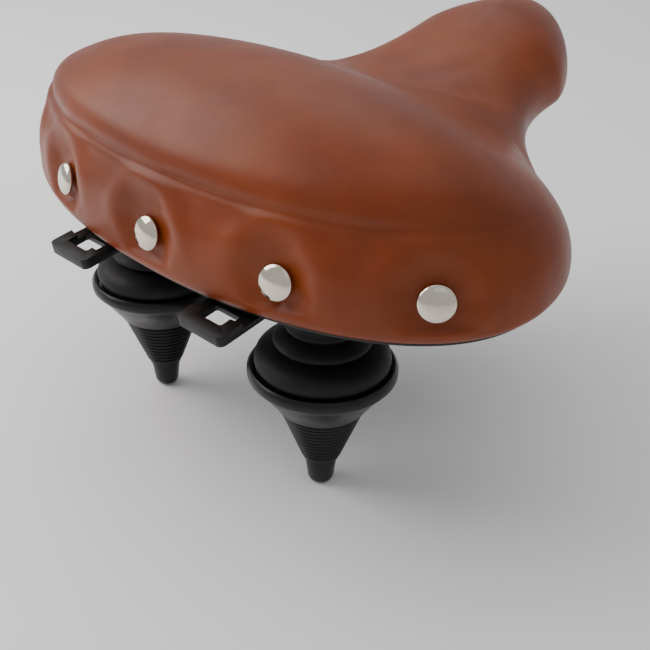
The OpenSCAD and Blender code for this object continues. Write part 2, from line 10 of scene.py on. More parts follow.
import bpy
from mathutils import Matrix, Vector
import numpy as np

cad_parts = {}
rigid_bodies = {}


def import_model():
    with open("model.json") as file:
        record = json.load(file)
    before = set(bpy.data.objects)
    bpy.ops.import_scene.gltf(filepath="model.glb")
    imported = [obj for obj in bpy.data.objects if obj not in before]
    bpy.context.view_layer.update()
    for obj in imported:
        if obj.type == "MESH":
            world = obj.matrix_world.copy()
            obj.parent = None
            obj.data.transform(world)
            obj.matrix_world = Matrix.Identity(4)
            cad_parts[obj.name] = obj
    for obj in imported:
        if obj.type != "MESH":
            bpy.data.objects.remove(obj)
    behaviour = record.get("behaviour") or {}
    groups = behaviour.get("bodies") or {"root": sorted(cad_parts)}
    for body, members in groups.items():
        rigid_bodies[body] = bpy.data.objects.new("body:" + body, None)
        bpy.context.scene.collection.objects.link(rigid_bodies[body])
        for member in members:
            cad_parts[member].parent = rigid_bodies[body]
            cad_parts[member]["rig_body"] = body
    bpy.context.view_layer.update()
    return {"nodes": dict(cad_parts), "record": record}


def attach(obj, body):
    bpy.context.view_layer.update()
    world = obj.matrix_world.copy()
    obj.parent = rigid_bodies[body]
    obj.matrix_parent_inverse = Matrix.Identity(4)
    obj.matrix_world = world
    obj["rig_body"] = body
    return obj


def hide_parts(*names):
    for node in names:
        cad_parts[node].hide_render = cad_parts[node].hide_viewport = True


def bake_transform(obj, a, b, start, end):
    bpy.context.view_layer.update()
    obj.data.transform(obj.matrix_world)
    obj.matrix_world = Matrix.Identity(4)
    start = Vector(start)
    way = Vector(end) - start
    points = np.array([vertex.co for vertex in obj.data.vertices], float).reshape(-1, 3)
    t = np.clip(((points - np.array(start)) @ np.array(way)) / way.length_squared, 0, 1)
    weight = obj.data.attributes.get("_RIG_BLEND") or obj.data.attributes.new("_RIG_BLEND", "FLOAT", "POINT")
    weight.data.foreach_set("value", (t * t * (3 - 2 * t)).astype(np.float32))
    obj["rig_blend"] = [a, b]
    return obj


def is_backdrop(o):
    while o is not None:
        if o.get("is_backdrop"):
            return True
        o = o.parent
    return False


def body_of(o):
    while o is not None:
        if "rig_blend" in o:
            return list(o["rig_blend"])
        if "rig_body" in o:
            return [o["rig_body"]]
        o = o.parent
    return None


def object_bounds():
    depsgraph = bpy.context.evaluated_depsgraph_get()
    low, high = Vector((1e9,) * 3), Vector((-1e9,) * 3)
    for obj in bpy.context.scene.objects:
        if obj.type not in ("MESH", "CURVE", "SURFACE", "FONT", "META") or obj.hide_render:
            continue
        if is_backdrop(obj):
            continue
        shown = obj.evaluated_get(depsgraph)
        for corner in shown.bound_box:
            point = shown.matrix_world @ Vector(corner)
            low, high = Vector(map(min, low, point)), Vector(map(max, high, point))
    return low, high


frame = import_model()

MM = 0.001
GRAIN_BEND = 1.2  # largest shift of the leather grain's cells, in millimetres
CLOTH_STEPS = 20  # frames that the swelling runs for
CLOTH = {
    "quality": 5, "mass": 0.3, "tension_stiffness": 8, "compression_stiffness": 8, "shear_stiffness": 4,
    "bending_stiffness": 1.5, "use_pressure": True, "uniform_pressure_force": 4,
}
Point = tuple[float, float, float]
log = logging.getLogger("saddle")


# ---- Small tools ----------------------------------------------------------------------------


def linear(colour: str) -> tuple[float, float, float, float]:
    """Turns an sRGB hex colour into linear light.

    Args:
        colour: the colour as "#RRGGBB".

    Returns:
        Red, green, blue and an alpha of 1.
    """
    parts = [int(colour[i : i + 2], 16) / 255 for i in (1, 3, 5)]
    light = [p / 12.92 if p <= 0.04045 else ((p + 0.055) / 1.055) ** 2.4 for p in parts]
    return (light[0], light[1], light[2], 1.0)


def add_node(tree: bpy.types.NodeTree, kind: str, settings: dict, links: dict) -> bpy.types.Node:
    """Adds a shader node with its settings and links.

    Args:
        tree: the material's node tree.
        kind: the node's type.
        settings: values by input name, or by the node's own property.
        links: source sockets by input name or number.

    Returns:
        The new node.
    """
    made = tree.nodes.new(kind)
    for name, value in settings.items():
        if name in made.inputs:
            made.inputs[name].default_value = value
        else:
            setattr(made, name, value)
    for name, source in links.items():
        tree.links.new(source, made.inputs[name])
    return made


def deselect() -> None:
    """Leaves nothing selected."""
    bpy.ops.object.select_all(action="DESELECT")


def only(piece: bpy.types.Object) -> None:
    """Selects one piece and makes it active."""
    deselect()
    piece.select_set(True)
    bpy.context.view_layer.objects.active = piece


def finished(piece: bpy.types.Object, angle: float = 35.0) -> bpy.types.Object:
    """Applies a piece's place and shades it smooth up to an angle.

    Args:
        piece: the piece.
        angle: the largest angle that is shaded smooth, in degrees.

    Returns:
        The same piece.
    """
    only(piece)
    bpy.ops.object.transform_apply(location=True, rotation=True, scale=True)
    bpy.ops.object.shade_smooth_by_angle(angle=math.radians(angle))
    return piece


def modify(piece: bpy.types.Object, kind: str, **settings: object) -> None:
    """Adds a modifier to a piece, sets it and applies it.

    Args:
        piece: the piece.
        kind: the modifier's type.
        settings: the modifier's properties.
    """
    only(piece)
    bpy.ops.object.modifier_add(type=kind)
    modifier = piece.modifiers[-1]
    for name, value in settings.items():
        setattr(modifier, name, value)
    bpy.ops.object.modifier_apply(modifier=modifier.name)


def turned(name: str, profile: Sequence[tuple[float, float]], centre: Point, sides: int = 96,
           capped: bool = True) -> bpy.types.Object:
    """Turns a profile about an upright axis: a ring is extruded and resized from point to point.

    Args:
        name: the piece's name.
        profile: radius and height of each ring in millimetres, from one end to the other.
        centre: the axis's place and the height that the profile starts from, in metres.
        sides: number of points round a ring.
        capped: whether the two end rings are closed with a face.

    Returns:
        The new piece.
    """
    deselect()
    radius, height = profile[0]
    base = Vector(centre)
    bpy.ops.mesh.primitive_circle_add(
        vertices=sides, radius=radius * MM, fill_type="NGON" if capped else "NOTHING",
        location=base + Vector((0, 0, height * MM)))
    piece = bpy.context.object
    piece.name = name
    only(piece)
    bpy.ops.object.mode_set(mode="EDIT")
    bpy.ops.mesh.select_all(action="DESELECT")
    bpy.ops.mesh.select_mode(type="EDGE")
    bpy.ops.mesh.select_all(action="SELECT")
    for r, z in profile[1:]:
        bpy.ops.mesh.extrude_edges_move(TRANSFORM_OT_translate={"value": (0, 0, (z - height) * MM)})
        middle = base + Vector((0, 0, z * MM))
        bpy.ops.transform.resize(value=(r / radius, r / radius, 1), center_override=middle)
        radius, height = r, z
    if capped:
        bpy.ops.mesh.edge_face_add()
    bpy.ops.mesh.select_all(action="SELECT")
    bpy.ops.mesh.normals_make_consistent(inside=False)
    bpy.ops.object.mode_set(mode="OBJECT")
    bpy.ops.object.transform_apply(location=True, rotation=True, scale=True)
    return piece


def rounded(points: Sequence[tuple[float, float]], parts: int) -> list[tuple[float, float]]:
    """Draws a smooth curve through a profile's points.

    Args:
        points: the profile's points.
        parts: number of steps between two points.

    Returns:
        The finer profile, which starts and ends where the first one does.
    """
    full = [points[0], *points, points[-1]]
    out = []
    for a, b, c, d in zip(full, full[1:], full[2:], full[3:]):
        for k in range(parts):
            t = k / parts
            out.append(tuple(
                0.5 * (2 * b[j] + (c[j] - a[j]) * t + (2 * a[j] - 5 * b[j] + 4 * c[j] - d[j]) * t * t
                       + (3 * b[j] - a[j] - 3 * c[j] + d[j]) * t ** 3) for j in (0, 1)))
    return out + [points[-1]]


def bell(x: float, width: float) -> float:
    """Gives a bell curve's height, 1 at its middle.

    Args:
        x: distance from the middle.
        width: distance at which the height has fallen to about a third.

    Returns:
        The height.
    """
    return math.exp(-(x / width) ** 2)


def ease(t: float) -> float:
    """Gives a smooth step from 0 to 1.

    Args:
        t: how far along the step a place is; below 0 and above 1 it stays level.

    Returns:
        The height.
    """
    t = max(0.0, min(1.0, t))
    return t * t * (3 - 2 * t)


# ---- Finishes -------------------------------------------------------------------------------


class Grain(Enum):
    """Kinds of surface relief."""

    HIDE = "fine leather grain"
    SPARK = "moulded spark texture"
    PEEL = "paint's orange peel"
    BRUSHED = "drawn or polished metal"
    CELLS = "open foam cells"


@dataclass(frozen=True)
class Finish:
    """A real finish: its colours, its gloss and its relief, with scales in millimetres."""

    name: str
    deep: str
    pale: str
    mottle: float
    rough: tuple[float, float]
    grain: Grain
    grain_size: float
    grain_depth: float
    metallic: float = 0.0
    coat: float = 0.0
    coat_rough: float = 0.1
    specular: float = 0.5
    # paler colour painted on edges and raised folds: rubbed wear on some finishes, a painted highlight on
    # others
    edge_wear_and_highlight: str = ""

    def relief(self, tree: bpy.types.NodeTree, place: bpy.types.NodeSocket) -> bpy.types.NodeSocket:
        """Builds the height pattern of the grain.

        Args:
            tree: the material's node tree.
            place: the socket that gives the point in metres.

        Returns:
            The height socket.
        """
        scale = 1000 / self.grain_size
        if self.grain is Grain.HIDE:
            # Cells a grain apart, bent a little so that no row of them runs straight
            warp = add_node(tree, "ShaderNodeTexNoise", {"Scale": scale / 6, "Detail": 3.0},
                            {"Vector": place})
            bent = add_node(tree, "ShaderNodeVectorMath",
                            {"operation": "MULTIPLY_ADD"},
                            {0: warp.outputs["Color"], 2: place})
            bent.inputs[1].default_value = (GRAIN_BEND * MM,) * 3
            cell = add_node(tree, "ShaderNodeTexVoronoi", {"feature": "DISTANCE_TO_EDGE", "Scale": scale},
                            {"Vector": bent.outputs[0]})
            fold = add_node(tree, "ShaderNodeTexNoise",
                            {"Scale": scale / 9, "Detail": 4.0, "Roughness": 0.6}, {"Vector": place})
            flat = add_node(tree, "ShaderNodeMapRange", {"From Max": 0.12, "To Max": 0.5},
                            {"Value": cell.outputs["Distance"]})
            return add_node(tree, "ShaderNodeMath", {"operation": "ADD"},
                            {0: flat.outputs[0], 1: fold.outputs["Fac"]}).outputs[0]
        if self.grain is Grain.CELLS:
            cell = add_node(tree, "ShaderNodeTexVoronoi", {"Scale": scale}, {"Vector": place})
            return cell.outputs["Distance"]
        if self.grain is Grain.BRUSHED:
            drawn = add_node(tree, "ShaderNodeMapping", {"Scale": (1.0, 1.0, 9.0)}, {"Vector": place})
            return add_node(tree, "ShaderNodeTexNoise", {"Scale": scale, "Detail": 2.0},
                            {"Vector": drawn.outputs[0]}).outputs["Fac"]
        detail = 5.0 if self.grain is Grain.SPARK else 1.5
        return add_node(tree, "ShaderNodeTexNoise", {"Scale": scale, "Detail": detail, "Roughness": 0.62},
                        {"Vector": place}).outputs["Fac"]

    def material(self) -> bpy.types.Material:
        """Makes the material.

        Returns:
            The material, or the one made before under the same name.
        """
        if self.name in bpy.data.materials:
            return bpy.data.materials[self.name]
        made = bpy.data.materials.new(self.name)
        made.use_nodes = True
        tree = made.node_tree
        tree.nodes.clear()
        place = add_node(tree, "ShaderNodeTexCoord", {}, {}).outputs["Object"]
        # Colour drifts between two shades of the same finish
        cloud = add_node(tree, "ShaderNodeTexNoise",
                         {"Scale": 1000 / self.mottle, "Detail": 5.0, "Roughness": 0.58}, {"Vector": place})
        tint = add_node(tree, "ShaderNodeValToRGB", {}, {"Fac": cloud.outputs["Fac"]})
        tint.color_ramp.elements[0].position = 0.32
        tint.color_ramp.elements[0].color = linear(self.deep)
        tint.color_ramp.elements[1].position = 0.68
        tint.color_ramp.elements[1].color = linear(self.pale)
        colour = tint.outputs["Color"]
        if self.edge_wear_and_highlight:
            # Edges and raised folds are painted paler: on some finishes this is rubbed wear, on others a
            # painted highlight
            form = add_node(tree, "ShaderNodeNewGeometry", {}, {})
            edge = add_node(tree, "ShaderNodeMapRange", {"From Min": 0.52, "From Max": 0.62, "To Max": 0.7},
                            {"Value": form.outputs["Pointiness"]})
            mix = add_node(tree, "ShaderNodeMix", {"data_type": "RGBA"}, {})
            mix.inputs[7].default_value = linear(self.edge_wear_and_highlight)
            tree.links.new(edge.outputs[0], mix.inputs[0])
            tree.links.new(colour, mix.inputs[6])
            colour = mix.outputs[2]
        # Handling leaves patches of slightly higher gloss
        smear = add_node(tree, "ShaderNodeTexNoise",
                         {"Scale": 1000 / (0.35 * self.mottle), "Detail": 6.0, "Roughness": 0.65},
                         {"Vector": place})
        gloss = add_node(tree, "ShaderNodeMapRange",
                         {"From Min": 0.3, "From Max": 0.7, "To Min": self.rough[0], "To Max": self.rough[1]},
                         {"Value": smear.outputs["Fac"]})
        bump = add_node(tree, "ShaderNodeBump", {"Distance": self.grain_depth * MM, "Strength": 1.0},
                        {"Height": self.relief(tree, place)})
        surface = add_node(
            tree, "ShaderNodeBsdfPrincipled",
            {"Metallic": self.metallic, "Coat Weight": self.coat, "Coat Roughness": self.coat_rough,
             "Specular IOR Level": self.specular},
            {"Base Color": colour, "Roughness": gloss.outputs[0], "Normal": bump.outputs[0]})
        add_node(tree, "ShaderNodeOutputMaterial", {}, {"Surface": surface.outputs[0]})
        return made


# One finish for each material slot of the record
FINISHES = {
    # Even brown with a soft, broad shine, paler on folds, with a grain only seen close by; the paler folds
    # are a painted highlight along with some rubbed wear
    "cover_leather": Finish("smooth brown faux leather", "#6E2903", "#823604", 42, (0.34, 0.44),
                            Grain.HIDE, 0.9, 0.035, coat=0.04, coat_rough=0.34,
                            specular=0.3, edge_wear_and_highlight="#90430F"),
    # A warm, nearly sharp mirror
    "nickel": Finish("polished nickel", "#CFC4B4", "#E2D9CB", 9, (0.05, 0.11), Grain.BRUSHED, 0.4, 0.002,
                     metallic=1.0),
    # Dull and dark, a little greyer on the rings' edges, which is a painted highlight
    "boot_rubber": Finish("matte black rubber", "#0B0B0C", "#111113", 12, (0.5, 0.64), Grain.SPARK, 0.35,
                          0.02, specular=0.3, edge_wear_and_highlight="#1B1B1D"),
    # Nearly black, with a shine along the rim and the ribs; the paler colour there is a painted highlight
    "cone_plastic": Finish("semi-gloss moulded black plastic", "#040404", "#080809", 18, (0.3, 0.42),
                           Grain.SPARK, 0.6, 0.008, coat=0.06, coat_rough=0.16, specular=0.3, edge_wear_and_highlight="#18181A"),
    # Nearly black, less glossy than the cones
    "loop_plastic": Finish("moulded black nylon", "#080809", "#0E0E10", 10, (0.34, 0.46), Grain.SPARK,
                           0.4, 0.015, specular=0.3, edge_wear_and_highlight="#1C1C1F"),
    # A dull dark line under the cover
    "trim_plastic": Finish("black extruded edge trim", "#120F0E", "#1A1715", 10, (0.42, 0.55),
                           Grain.SPARK, 0.4, 0.01),
    # Dull black with a coarse moulded grain
    "base_plastic": Finish("moulded black polypropylene", "#131314", "#1B1B1D", 25, (0.48, 0.62),
                           Grain.SPARK, 0.5, 0.03),
    # Yellowish and matte, with open pores
    "foam": Finish("open-cell foam", "#C2B07C", "#D6C795", 15, (0.85, 0.95), Grain.CELLS, 1.2, 0.3),
    # Wet-looking black with slight ripples
    "rail_paint": Finish("glossy black paint on steel", "#0B0B0D", "#131316", 20, (0.16, 0.26), Grain.PEEL,
                         1.8, 0.012, coat=0.6, coat_rough=0.08, edge_wear_and_highlight="#3A3B3F"),
    # Satin black, worn grey on its edges
    "clamp_steel": Finish("satin black powder coat", "#111214", "#1A1B1E", 12, (0.36, 0.48), Grain.PEEL,
                          0.7, 0.02, edge_wear_and_highlight="#3C3D40"),
    # Dark metal with a low shine, paler on its edges
    "jaw_steel": Finish("black oxide steel", "#191A1D", "#25262A", 10, (0.3, 0.44), Grain.SPARK, 0.4,
                        0.01, metallic=0.7, edge_wear_and_highlight="#5A5B60"),
    # Pale silvery metal
    "zinc": Finish("bright zinc plate", "#A9ABA8", "#C4C5C0", 8, (0.24, 0.38), Grain.BRUSHED, 0.5, 0.004,
                   metallic=1.0),
    # Mid-grey metal with a blurred shine
    "spring_steel": Finish("oiled spring steel", "#55565A", "#6D6E72", 7, (0.26, 0.4), Grain.BRUSHED, 0.4,
                           0.004, metallic=1.0),
    # Off-white and slightly waxy
    "nylon": Finish("white nylon", "#D2D0C6", "#E0DED4", 10, (0.4, 0.5), Grain.SPARK, 0.5, 0.01),
}
SLOTS = {part["node"]: part["material_slot"] for part in frame["record"]["subparts"]}


def dress(piece: bpy.types.Object, slot: str) -> bpy.types.Object:
    """Gives a piece the finish of a material slot.

    Args:
        piece: the piece.
        slot: the record's slot.

    Returns:
        The same piece.
    """
    material = FINISHES[slot].material()
    if piece.material_slots:
        for holder in piece.material_slots:
            holder.material = material
    else:
        piece.data.materials.append(material)
    return piece


def place(piece: bpy.types.Object, body: str, *nodes: str) -> bpy.types.Object:
    """Puts a finished piece on its body in place of CAD nodes, in the first one's finish.

    Args:
        piece: the finished piece.
        body: the body that it rides on.
        nodes: the CAD nodes that it stands for.

    Returns:
        The same piece.
    """
    dress(piece, SLOTS[nodes[0]])
    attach(piece, body)
    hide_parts(*nodes)
    log.info("%s: %d faces on %s", piece.name, len(piece.data.polygons), body)
    return piece


# ---- Seat -----------------------------------------------------------------------------------


@dataclass
class SeatSurface:
    """Shape of the padded seat, in millimetres."""

    length: float = 260.0
    width: float = 265.0
    rear: float = -103.0
    hem_z: float = 60.0
    pitch: float = 6.8
    widest: float = 5.5
    tuck: float = 6.5
    side_power: float = 3.0
    top_power: float = 2.25
    crest: tuple[float, float, float] = (72.5, 43.0, 65.4)
    crest_shares: tuple[float, float] = (0.215, 0.870)
    crest_blend: int = 6
    neck_half: float = 44.5
    neck_share: float = 0.799
    wing_share: float = 0.259
    pulls: tuple[float, ...] = (0.43, 0.24, 0.53, 0.40, 0.57, 0.62)
    rivet_angles: tuple[int, int, int] = (0, 13, 40)
    rivet_h: float = 17.0
    rivet_tilt: float = 12.0
    rivet_sink: float = 3.0

    def spans(self) -> tuple:
        """Gives the three cubic curves of the half outline, from the nose to the rear."""
        nose_y = self.rear + self.length
        neck = (self.neck_half, self.rear + self.neck_share * self.length)
        wing = (self.width / 2, self.rear + self.wing_share * self.length)
        rise, fall = nose_y - neck[1], neck[1] - wing[1]
        nose_wide, neck_up, neck_down, wing_up, wing_down, rear_wide = self.pulls
        return (
            ((0.0, nose_y), (nose_wide * neck[0], nose_y), (neck[0], neck[1] + neck_up * rise), neck),
            (neck, (neck[0], neck[1] - neck_down * fall), (wing[0], wing[1] + wing_up * fall), wing),
            (wing, (wing[0], wing[1] - wing_down * (wing[1] - self.rear)),
             (rear_wide * wing[0], self.rear), (0.0, self.rear)),
        )

    def half(self, steps: tuple[int, int, int]) -> list[tuple[Vector, Vector]]:
        """Samples the half outline.

        Args:
            steps: number of steps along each curve.

        Returns:
            Points with their outward directions, from the nose to the rear.
        """
        points = []
        for (a, b, c, d), n, end in zip(self.spans(), steps, (0, 0, 1)):
            for k in range(n + end):
                t = k / n
                points.append(Vector([
                    (1 - t) ** 3 * a[j] + 3 * (1 - t) ** 2 * t * b[j] + 3 * (1 - t) * t * t * c[j]
                    + t ** 3 * d[j] for j in (0, 1)]))
        out = [Vector((0.0, 1.0))]
        for before, after in zip(points, points[2:]):
            along = after - before
            out.append(Vector((-along.y, along.x)).normalized())
        return list(zip(points, out + [Vector((0.0, -1.0))]))

    def hem_at(self, y: float) -> float:
        """Height of the hem at a place along the seat."""
        return self.hem_z + math.tan(math.radians(self.pitch)) * (y - self.rear)

    def crest_point(self, y: float) -> tuple[float, float]:
        """Finds the crest line's point that an outline height belongs to.

        Args:
            y: the outline point's place along the seat.

        Returns:
            The crest point's place along the seat and its height.
        """
        a, b = (self.rear + share * self.length for share in self.crest_shares)
        k = self.crest_blend
        w = (y - a) / (b - a)
        u = (math.log(1 + math.exp(k * w)) - math.log(1 + math.exp(k * (w - 1)))) / k
        low, high, t = (*self.crest[:2], 2 * u) if u < 0.5 else (*self.crest[1:], 2 * u - 1)
        return a + u * (b - a), self.hem_z + low + (high - low) * (1 - math.cos(math.pi * t)) / 2

    def upper(self, at: tuple[Vector, Vector], angle: float, inset: float = 0.0) -> Vector:
        """Finds a point of the upper surface.

        Args:
            at: an outline point and its outward direction.
            angle: 90 at the side and 0 at the crest, in degrees.
            inset: depth below the outer surface.

        Returns:
            The point.
        """
        point, out = at
        edge = point - inset * out
        spine, top = self.crest_point(point.y)
        top -= inset
        side = self.hem_at(point.y) + self.widest
        s = math.sin(math.radians(angle)) ** (2 / self.side_power)
        c = max(math.cos(math.radians(angle)), 0.0) ** (2 / self.top_power)
        return Vector((s * max(edge.x, 0), spine + s * (edge.y - spine), side + (top - side) * c))

    def lower(self, at: tuple[Vector, Vector], tuck: float, height: float) -> Vector:
        """Finds a point at a distance in from the outline and a height above the hem."""
        point, out = at
        edge = point - tuck * out
        return Vector((max(edge.x, 0), edge.y, self.hem_at(point.y) + height))

    def rivets(self) -> list[Matrix]:
        """Finds where the rivets sit.

        Returns:
            For each rivet, the matrix in millimetres that puts a cap whose foot is at the origin,
            pointing along +Z, in its place.
        """
        coarse = (8, 12, 14)
        line = self.half(coarse)
        wing_start = coarse[0] + coarse[1] + 1
        found = []
        for angle in self.rivet_angles:
            i = max(k for k in range(wing_start, len(line))
                    if math.degrees(math.atan2(line[k][1].x, -line[k][1].y)) >= angle - 1e-9)
            spine, top = self.crest_point(line[i][0].y)
            side = self.hem_at(line[i][0].y) + self.widest
            share = (self.rivet_h - self.widest) / (top - side)
            rise = math.degrees(math.acos(share ** (self.top_power / 2)))
            spot, out = self.upper(line[i], rise), line[i][1]
            for hand in (1, -1) if angle else (1,):
                turn = math.atan2(out.y, hand * out.x)
                found.append(
                    Matrix.Translation((hand * spot.x, spot.y, spot.z)) @ Matrix.Rotation(turn, 4, "Z")
                    @ Matrix.Rotation(math.radians(90 - self.rivet_tilt), 4, "Y")
                    @ Matrix.Translation((0, 0, -self.rivet_sink)))
        return found


@dataclass
class Seat:
    """The padded cover with its gathers, and the rivets that hold it."""

    surface: SeatSurface
    steps: tuple[int, int, int] = (18, 30, 40)
    rise_rows: int = 24
    slack: float = 0.7  # depth of the unswollen form below the surface
    cap: float = 3.0  # the most that swelling may move a point
    held_h: float = 1.0  # below the widest line by this, the cover is held
    held_r: float = 8.0  # and this near a rivet
    fold_under: tuple[tuple[float, float], ...] = ((8.5, 0.1), (8.5, 2.2), (5.2, 2.25), (5.2, 5.8))
    crease: float = 0.53  # height of the crease, as a share of the way from side to crest
    over_crease: float = 1.7  # how far the cover stands out over it
    in_crease: float = 1.4  # how deep it is
    under_crease: float = 1.5  # how far the band under it is drawn in
    draw: float = 3.6  # how far a rivet draws the cover in
    draw_from: float = 7.2  # from this distance of its axis
    draw_width: float = 11.0  # and over this width
    fold_r: float = 13.5  # distance of the short folds from the axis
    hood_r: float = 21.0  # distance of the hood from the axis
    middle_hood: float = 2.2  # its height over the middle rivet
    side_hood: float = 1.3  # and over the others
    hood_spread: float = 1.9  # how far round the cap it goes each way, in radians
    tuck_in: float = 1.3  # depth of a tuck next to the middle rivet

    def shell(self) -> bpy.types.Object:
        """Makes the closed form of the cover and the foam under it, slightly slack.

        Returns:
            The new piece, unfinished.
        """
        s = self.surface
        half = s.half(self.steps)
        columns = []
        for at in half:
            side = [s.upper(at, 90 * k / self.rise_rows, self.slack) for k in range(self.rise_rows + 1)]
            turn = [s.lower(at, self.slack + s.tuck * (1 - math.cos(math.radians(b))),
                            s.widest * (1 - math.sin(math.radians(b)))) for b in (22.5, 45, 67.5, 90)]
            under = [s.lower(at, tuck, height) for tuck, height in self.fold_under]
            middle = Vector((0, s.crest_point(at[0].y)[0], 0))
            middle.z = s.hem_at(middle.y) + self.fold_under[-1][1]
            columns.append(side + turn + under + [middle])
        mirrored = [[Vector((-p.x, p.y, p.z)) for p in column] for column in columns[-2:0:-1]]
        ring = columns + mirrored
        rows = len(columns[0])
        points = [p * MM for column in ring for p in column]
        faces = []
        for i in range(len(ring)):
            for k in range(rows - 1):
                a, b = i * rows + k, ((i + 1) % len(ring)) * rows + k
                faces.append((a, a + 1, b + 1, b))
        mesh = bpy.data.meshes.new("padded_cover")
        mesh.from_pydata(points, [], faces)
        piece = bpy.data.objects.new("padded_cover", mesh)
        bpy.context.scene.collection.objects.link(piece)
        only(piece)
        bpy.ops.object.mode_set(mode="EDIT")
        bpy.ops.mesh.select_all(action="SELECT")
        bpy.ops.mesh.remove_doubles(threshold=0.00005)
        bpy.ops.mesh.dissolve_degenerate(threshold=0.00001)
        bpy.ops.mesh.normals_make_consistent(inside=False)
        bpy.ops.object.mode_set(mode="OBJECT")
        return piece

    def held(self, point: Vector, spots: list[Matrix]) -> float:
        """Says how firmly a point is held: fully at the hem and under a rivet, else free."""
        height = point.z - self.surface.hem_at(point.y)
        near = min((point - m.translation).length for m in spots)
        return 1.0 if height < self.surface.widest - self.held_h or near < self.held_r else 0.0

    def swell(self, piece: bpy.types.Object, spots: list[Matrix]) -> None:
        """Fills the cover with air pressure as cloth, held at the hem and the rivets.

        Args:
            piece: the cover.
            spots: the rivets' places.
        """
        rest = [v.co.copy() for v in piece.data.vertices]
        group = piece.vertex_groups.new(name="held")
        for v in piece.data.vertices:
            group.add([v.index], self.held(v.co / MM, spots), "REPLACE")
        only(piece)
        bpy.ops.object.modifier_add(type="CLOTH")
        cloth = piece.modifiers[-1]
        cloth.settings.vertex_group_mass = "held"
        for name, value in CLOTH.items():
            setattr(cloth.settings, name, value)
        cloth.settings.effector_weights.gravity = 0
        cloth.collision_settings.use_collision = False
        cloth.point_cache.frame_start, cloth.point_cache.frame_end = 1, CLOTH_STEPS
        for step in range(1, CLOTH_STEPS + 1):
            bpy.context.scene.frame_set(step)
        bpy.ops.object.modifier_apply(modifier=cloth.name)
        bpy.context.scene.frame_set(1)
        piece.vertex_groups.clear()
        most = 0.0
        for v, start in zip(piece.data.vertices, rest):
            moved = v.co - start
            most = max(most, moved.length)
            if moved.length > self.cap * MM:
                v.co = start + moved.normalized() * self.cap * MM
        log.info("cloth moved the cover by up to %.1f mm, capped at %.1f mm", most / MM, self.cap)

    def gathers(self, point: Vector, spots: list[Matrix]) -> float:
        """Gives how far the cover stands in or out at a point, from rivets, ridge and folds.

        Args:
            point: the point in millimetres.
            spots: the rivets' places.

        Returns:
            The distance along the normal in millimetres.
        """
        s = self.surface
        spine, top = s.crest_point(point.y)
        side = s.hem_at(point.y) + s.widest
        h = (point.z - side) / (top - side)
        back = ease((-20 - point.y) / 50)
        # The upper mass of foam stands over a crease, and a band under it is drawn in
        d = h - self.crease
        move = back * (self.over_crease * bell(d - 0.12, 0.10) - self.in_crease * bell(d, 0.028)
                       - self.under_crease * bell(d + 0.10, 0.10))
        if h < 0.02:
            return 0.0
        for number, spot in enumerate(spots):
            local = spot.inverted() @ point
            r = math.hypot(local.x, local.y)
            if r > 42 or abs(local.z) > 25:
                continue
            turn = math.atan2(local.y, -local.x)
            # The cap pulls the cover in, and the cover comes up round it
            move -= self.draw * (1 - ease((r - self.draw_from) / self.draw_width))
            # Short folds run out from the cap, seven fine and three broad, turned from cap to cap
            fold = 0.16 * math.cos(7 * turn + 1.7 * number) + 0.3 * math.cos(3 * turn + 2.3 * number)
            move += fold * bell(r - self.fold_r, 6.0) * min(1.0, max(0.0, (r - 7.5) / 3))
            # A soft hood stands over the cap
            if abs(turn) < self.hood_spread:
                over = math.cos(turn / self.hood_spread * math.pi / 2)
                hood = self.side_hood if number else self.middle_hood
                move += hood * over * bell(r - self.hood_r, 4.8)
        # A tuck runs down to the hem under each rivet next to the middle one
        for spot in spots[1:3]:
            local = spot.inverted() @ point
            if local.x > 4:
                line = bell(local.y - 0.12 * local.x, 2.2)
                move -= self.tuck_in * line * math.exp(-abs(local.z) / 20)
        return move

    def cover(self) -> bpy.types.Object:
        """Makes the cover: a slack form is swollen, subdivided and gathered.

        Returns:
            The finished piece.
        """
        spots = self.surface.rivets()
        piece = self.shell()
        self.swell(piece, spots)
        levels = 2
        modify(piece, "SUBSURF", levels=levels, render_levels=levels)
        normals = [v.normal.copy() for v in piece.data.vertices]
        for v, n in zip(piece.data.vertices, normals):
            v.co += n * (self.gathers(v.co / MM, spots) * MM)
        finished(piece, 80)
        return place(piece, "seat", "cover", "pad")

    def trim(self) -> bpy.types.Object:
        """Makes the edge trim: a flat strip that follows the cover's hem all round.

        Returns:
            The finished piece.
        """
        s = self.surface
        right = s.half(self.steps)
        section = ((5.4, -0.1), (5.4, -1.1), (9.6, -1.1), (9.6, -0.1))
        columns = [[s.lower(at, tuck, z) for tuck, z in section] for at in right]
        ring = columns + [[Vector((-p.x, p.y, p.z)) for p in c] for c in columns[-2:0:-1]]
        points = [p * MM for column in ring for p in column]
        faces = []
        for i in range(len(ring)):
            for k in range(4):
                a, b = i * 4 + k, ((i + 1) % len(ring)) * 4 + k
                c, d = i * 4 + (k + 1) % 4, ((i + 1) % len(ring)) * 4 + (k + 1) % 4
                faces.append((a, c, d, b))
        mesh = bpy.data.meshes.new("edge_trim")
        mesh.from_pydata(points, [], faces)
        piece = bpy.data.objects.new("edge_trim", mesh)
        bpy.context.scene.collection.objects.link(piece)
        only(piece)
        bpy.ops.object.mode_set(mode="EDIT")
        bpy.ops.mesh.select_all(action="SELECT")
        bpy.ops.mesh.normals_make_consistent(inside=False)
        bpy.ops.object.mode_set(mode="OBJECT")
        modify(piece, "BEVEL", width=0.3 * MM, segments=2, limit_method="ANGLE",
               angle_limit=math.radians(50))
        return place(finished(piece, 40), "seat", "hem_trim")

